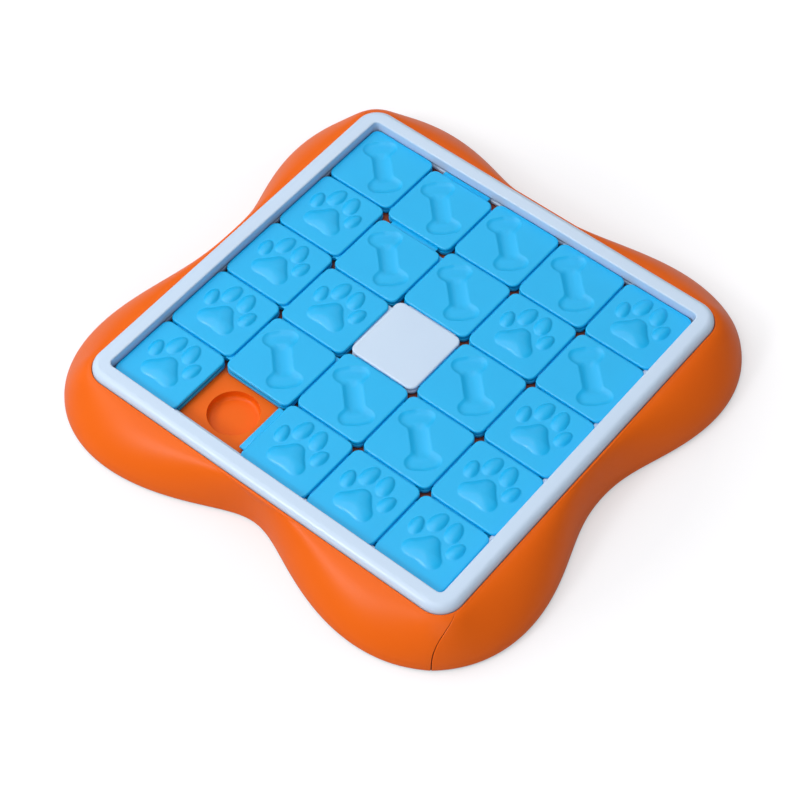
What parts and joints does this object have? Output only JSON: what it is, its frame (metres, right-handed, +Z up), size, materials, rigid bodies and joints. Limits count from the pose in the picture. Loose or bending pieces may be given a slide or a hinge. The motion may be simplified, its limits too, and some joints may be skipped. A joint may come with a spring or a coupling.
{
  "type": "sliding tile treat puzzle",
  "caption": "Sliding tile treat puzzle for dogs: square tiles with raised paws and sunk bones slide in a framed board and uncover round treat wells.",
  "frame": {"origin": "centre of the base, on the surface that the toy stands on, under the middle cell of the board", "axes": "+Z up; +X along the board's side, from column a to column e; +Y along the board's other side, from row 1, which holds the empty cell, to row 5"},
  "size_m": [0.3338, 0.3338, 0.034],
  "materials": {
    "base_plastic": "satin moulded",
    "frame_plastic": "satin moulded",
    "tile_plastic": "satin moulded",
    "white_tile_plastic": "satin moulded",
    "foot_rubber": "matte",
    "screw_steel": "zinc plated"
  },
  "bodies": {
    "base": {"base_shell": "base_plastic", "treat_tray": "base_plastic", "frame_ring": "frame_plastic", "frame_screws": "screw_steel", "rubber_feet": "foot_rubber", "paw_tile_a1": "tile_plastic", "paw_tile_c1": "tile_plastic", "paw_tile_d1": "tile_plastic", "paw_tile_e1": "tile_plastic", "paw_tile_a2": "tile_plastic", "paw_tile_e2": "tile_plastic", "paw_tile_a3": "tile_plastic", "paw_tile_e3": "tile_plastic", "paw_tile_a4": "tile_plastic", "paw_tile_d4": "tile_plastic", "paw_tile_e5": "tile_plastic", "bone_tile_c2": "tile_plastic", "bone_tile_d2": "tile_plastic", "bone_tile_d3": "tile_plastic", "bone_tile_c4": "tile_plastic", "bone_tile_e4": "tile_plastic", "bone_tile_a5": "tile_plastic", "bone_tile_c5": "tile_plastic", "bone_tile_d5": "tile_plastic", "white_tile_c3": "white_tile_plastic"},
    "tile_b2": {"bone_tile_b2": "tile_plastic"},
    "tile_b3": {"paw_tile_b3": "tile_plastic"},
    "tile_b4": {"bone_tile_b4": "tile_plastic"},
    "tile_b5": {"bone_tile_b5": "tile_plastic"}
  },
  "joints": [
    {"name": "tile_b2_slide", "type": "slide", "parent": "base", "child": "tile_b2", "axis": [0, -1, 0], "range_m": [-0.0035, 0.0438]},
    {"name": "tile_b3_slide", "type": "slide", "parent": "base", "child": "tile_b3", "axis": [0, -1, 0], "range_m": [-0.0035, 0.0438]},
    {"name": "tile_b4_slide", "type": "slide", "parent": "base", "child": "tile_b4", "axis": [0, -1, 0], "range_m": [-0.0035, 0.0438]},
    {"name": "tile_b5_slide", "type": "slide", "parent": "base", "child": "tile_b5", "axis": [0, -1, 0], "range_m": [-0.0035, 0.0438]}
  ],
  "couplings": [
    {"joint": "tile_b3_slide", "follows": "tile_b2_slide", "ratio": 1},
    {"joint": "tile_b4_slide", "follows": "tile_b2_slide", "ratio": 1},
    {"joint": "tile_b5_slide", "follows": "tile_b2_slide", "ratio": 1}
  ]
}
